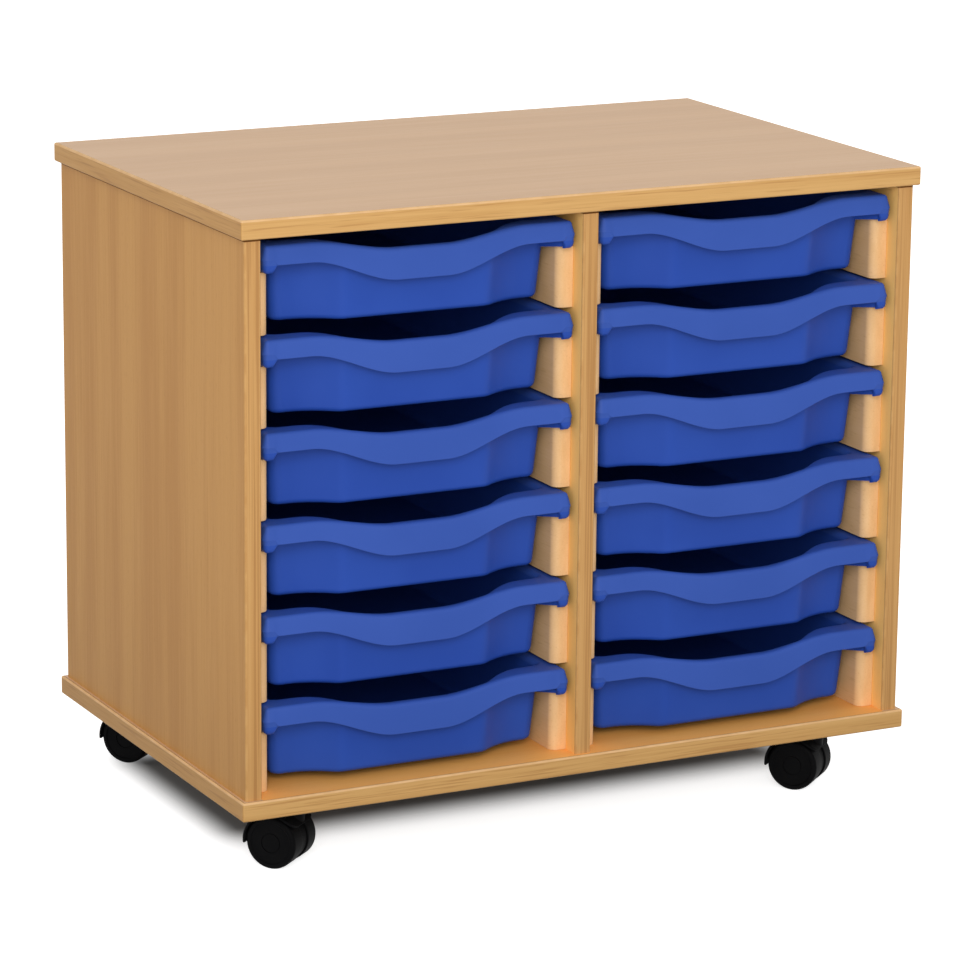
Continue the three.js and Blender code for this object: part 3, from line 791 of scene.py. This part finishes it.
def spun(outline, start=0, sweep=360, closed=True):
    """Sweeps an outline of millimetres along and out from the X axis, from an angle that starts at +Y."""
    mesh = bmesh.new()
    turn = Matrix.Rotation(math.radians(start), 3, "X")
    verts = [mesh.verts.new(turn @ Vector((along, out, 0)) * MM) for along, out in outline]
    first = 0 if closed else 1
    edges = [mesh.edges.new((verts[i - 1], verts[i])) for i in range(first, len(verts))]
    bmesh.ops.spin(
        mesh, geom=verts + edges, cent=(0, 0, 0), axis=(1, 0, 0), angle=math.radians(sweep),
        steps=round(sweep / SPIN_STEP), use_merge=sweep == 360,
    )
    bmesh.ops.remove_doubles(mesh, verts=mesh.verts[:], dist=SEAM)
    bmesh.ops.holes_fill(mesh, edges=[edge for edge in mesh.edges if edge.is_boundary], sides=0)
    bmesh.ops.recalc_face_normals(mesh, faces=mesh.faces[:])
    return mesh


def hoops(mesh, along, out):
    """The edges of the circles this far along the X axis, either way, and this far out from it."""
    return [
        edge for edge in mesh.edges for side in (-1, 1)
        if all(abs(v.co.x * side - along * MM) < NEAR_ALONG and abs(v.co.yz.length - out * MM) < NEAR_OUT
               for v in edge.verts)
    ]


def add_mesh(mesh, other):
    """Moves the faces of another bmesh into this one."""
    data = bpy.data.meshes.new("part")
    other.to_mesh(data)
    other.free()
    mesh.from_mesh(data)
    bpy.data.meshes.remove(data)


def band(half, inner, outer):
    """The outline of a ring or a disc that reaches this far either way along the X axis."""
    return [(-half, inner), (-half, outer), (half, outer), (half, inner)]


def castor_hood():
    """Cover, web, boss and axle, with the stem's axis at the origin and the axle to one side of it."""
    hood = spun(band(HOOD_HALF, HOOD_IN, HOOD_OUT), HOOD_START, HOOD_SWEEP)
    round_edges(hood, hoops(hood, HOOD_HALF, HOOD_OUT), HOOD_ROUND * MM, HOOD_STEPS)
    round_edges(hood, sharp_edges(hood), HOOD_EASE * MM, EASE_STEPS)
    # The cover narrows to round corners at the end where its sweep starts.
    for vert in hood.verts:
        from_end = math.atan2(vert.co.z, vert.co.y) - math.radians(HOOD_START)
        short = max(0, HOOD_CORNER - max(0, from_end) * HOOD_OUT) if from_end > -1 else 0
        vert.co.x *= 1 - (HOOD_CORNER - math.sqrt(HOOD_CORNER ** 2 - short ** 2)) / HOOD_HALF
    add_mesh(hood, spun(band(WEB_HALF, WEB_IN, WEB_OUT), HOOD_START, HOOD_SWEEP))
    add_mesh(hood, spun(band(DISC_HALF, 0, WEB_DISC), closed=False))
    add_mesh(hood, spun(band(AXLE_HALF, 0, AXLE_RADIUS), closed=False))
    bmesh.ops.translate(hood, verts=hood.verts[:], vec=Vector((0, -TRAIL, WHEEL_RADIUS)) * MM)
    boss = add_round(hood, BOSS_RADIUS * MM, WHEEL_RADIUS * MM, BOSS_TOP * MM)
    # The foot of the boss is sunk into the curve of the cover.
    for vert in boss:
        if vert.co.z < BOSS_TOP * MM / 2:
            vert.co.z += math.sqrt((BOSS_SEAT * MM) ** 2 - (vert.co.y + TRAIL * MM) ** 2)
    top = [face for face in faces_of(boss) if face.normal.z > MOSTLY_ON]
    round_edges(hood, edges_of(top), BOSS_ROUND * MM, BOSS_STEPS)
    return hood


def castor_wheel():
    """A wheel with a rounded tread, a shallow dished face and a hub cap, about the axle's middle."""
    wheel = spun(WHEEL_OUTLINE, closed=False)
    round_edges(wheel, hoops(wheel, WHEEL_OUT, WHEEL_RADIUS), TREAD_ROUND * MM, TREAD_STEPS)
    round_edges(wheel, hoops(wheel, WHEEL_IN, WHEEL_RADIUS), INNER_TREAD_ROUND * MM, INNER_TREAD_STEPS)
    return wheel


def placed(shape, name, place):
    """A mesh of its own, with a copy of the bmesh moved to its place."""
    data = bpy.data.meshes.new(name)
    shape.to_mesh(data)
    data.transform(place)
    return data


nylon = black_nylon("black_nylon")
hood_shape, wheel_shape = castor_hood(), castor_wheel()
joints = {joint["name"]: joint for joint in frame["joints"]}
for castor in CASTORS:
    stem = joints[f"{castor}_swivel"]["pos_m"]
    along = joints[f"{castor}_wheel_a_spin"]["axis"]
    turn = Matrix.Rotation(math.atan2(along[1], along[0]), 4, "Z")
    stand = Matrix.Translation((stem[0], stem[1], 0)) @ turn
    hood = placed(hood_shape, f"{castor}_hood", stand)
    finish_piece(f"{castor}_hood_moulding", hood, [nylon], castor, f"{castor}_hood")
    axle = stand @ Matrix.Translation(Vector((0, -TRAIL, WHEEL_RADIUS)) * MM)
    for letter, face in (("a", 0), ("b", math.pi)):
        node = f"{castor}_wheel_{letter}"
        wheel = placed(wheel_shape, node, axle @ Matrix.Rotation(face, 4, "Z"))
        finish_piece(f"{node}_moulding", wheel, [nylon], node, node)
hood_shape.free()
wheel_shape.free()

# Floor, light and camera
# A white floor and backdrop, an even pale surround and one soft lamp above and behind the camera, so that
# the unit's shadow falls behind it and only the floor under it stays dark.
FLOOR_SIZE = 40.0
floor_mesh = bmesh.new()
bmesh.ops.create_grid(floor_mesh, x_segments=1, y_segments=1, size=FLOOR_SIZE / 2)
floor_data = bpy.data.meshes.new("floor")
floor_mesh.to_mesh(floor_data)
floor_mesh.free()
floor = bpy.data.objects.new("floor", floor_data)
bpy.context.scene.collection.objects.link(floor)


def rays(finish, *kinds):
    """1 for a ray of any of these kinds."""
    total = sum(finish.node("LightPath", {}, {}, output=f"Is {kind} Ray") for kind in kinds)
    return finish.between(total, 0, 1)


# To the camera the floor is white, with a soft shade painted under the unit. For bounced light it is dark
# beside the unit and pale in front of it and far away.
FELT_DARK, FELT_PALE = (0.05, 0.05, 0.05, 1), (0.7, 0.7, 0.7, 1)
FELT_FRONT, FELT_REACH = (-0.6, -0.3), (0.5, 1.3)
FLOOR_WHITE, FLOOR_SHADE, FLOOR_GLOW = (0.95, 0.95, 0.95, 1), (0.3, 0.3, 0.3, 1), 0.72
SHADE_LEFT, SHADE_RIGHT = (-0.328, -0.282), (0.28, 0.35)
SHADE_FRONT, SHADE_REAR = (-0.132, -0.057), (0.16, 0.225)
floor_finish = Finish(bpy.data.materials.new("floor_white"))
floor_seen = rays(floor_finish, "Camera", "Glossy", "Transmission")
floor_place = floor_finish.place()
floor_x = floor_finish.node("SeparateXYZ", {}, {0: floor_place}, output="X")
floor_y = floor_finish.node("SeparateXYZ", {}, {0: floor_place}, output="Y")
shade_x = floor_finish.between(floor_x, *SHADE_LEFT) * (1 - floor_finish.between(floor_x, *SHADE_RIGHT))
shade_y = floor_finish.between(floor_y, *SHADE_FRONT) * (1 - floor_finish.between(floor_y, *SHADE_REAR))
shade = shade_x * shade_y
away = floor_finish.node("VectorMath", {"operation": "LENGTH"}, {0: floor_place}, output="Value")
beside = floor_finish.between(floor_y, *FELT_FRONT) * (1 - floor_finish.between(away, *FELT_REACH))
felt = floor_finish.mix(beside, FELT_PALE, FELT_DARK)
white = floor_finish.mix(shade, FLOOR_WHITE, FLOOR_SHADE)
matt = floor_finish.node("BsdfDiffuse", {}, {"Color": floor_finish.mix(floor_seen, felt, white)})
glow = floor_finish.node(
    "Emission", {}, {"Color": (1, 1, 1, 1), "Strength": floor_seen * FLOOR_GLOW * (1 - shade)},
)
floor_finish.node("OutputMaterial", {}, {"Surface": floor_finish.node("AddShader", {}, {0: matt, 1: glow})})
floor_data.materials.append(floor_finish.owner)

SURROUND = 0.72
world = bpy.data.worlds.new("surround")
bpy.context.scene.world = world
world_finish = Finish(world)
world_seen = rays(world_finish, "Camera", "Glossy", "Transmission")
backdrop = world_finish.node(
    "Background", {}, {"Color": (1, 1, 1, 1), "Strength": world_seen * (1 - SURROUND) + SURROUND},
)
world_finish.node("OutputWorld", {}, {"Surface": backdrop})

KEY_PLACE, KEY_AIM = Vector((-1.97, -4.23, 2.09)), Vector((0, 0, 0.3))
KEY_SIZE, KEY_POWER = 2.4, 110
key = bpy.data.lights.new("key", "AREA")
key.shape = "DISK"
key.size = KEY_SIZE
key.energy = KEY_POWER
key_lamp = bpy.data.objects.new("key", key)
key_lamp.location = KEY_PLACE
key_lamp.visible_camera = False
key_lamp.rotation_euler = (KEY_AIM - KEY_PLACE).to_track_quat("-Z", "Y").to_euler()
bpy.context.scene.collection.objects.link(key_lamp)

# The camera stands to the left of the open front and a little above it, with a long lens.
CAMERA_PLACE = Vector((-1.8526, -3.6655, 1.3189))
CAMERA_YAW, CAMERA_PITCH, CAMERA_ROLL = math.radians(26.813), math.radians(13.974), math.radians(0.585)
CAMERA_LENS, CAMERA_FAR = 163.44, 100
camera = bpy.data.cameras.new("camera")
camera.lens = CAMERA_LENS
camera.clip_end = CAMERA_FAR
camera_object = bpy.data.objects.new("camera", camera)
camera_object.location = CAMERA_PLACE
level_turn = Matrix.Rotation(math.radians(90) - CAMERA_PITCH, 3, "X")
upright_turn = Matrix.Rotation(-CAMERA_YAW, 3, "Z") @ level_turn
camera_object.rotation_euler = (upright_turn @ Matrix.Rotation(CAMERA_ROLL, 3, "Z")).to_euler()
bpy.context.scene.collection.objects.link(camera_object)
bpy.context.scene.camera = camera_object
bpy.context.scene.view_settings.view_transform = "Standard"
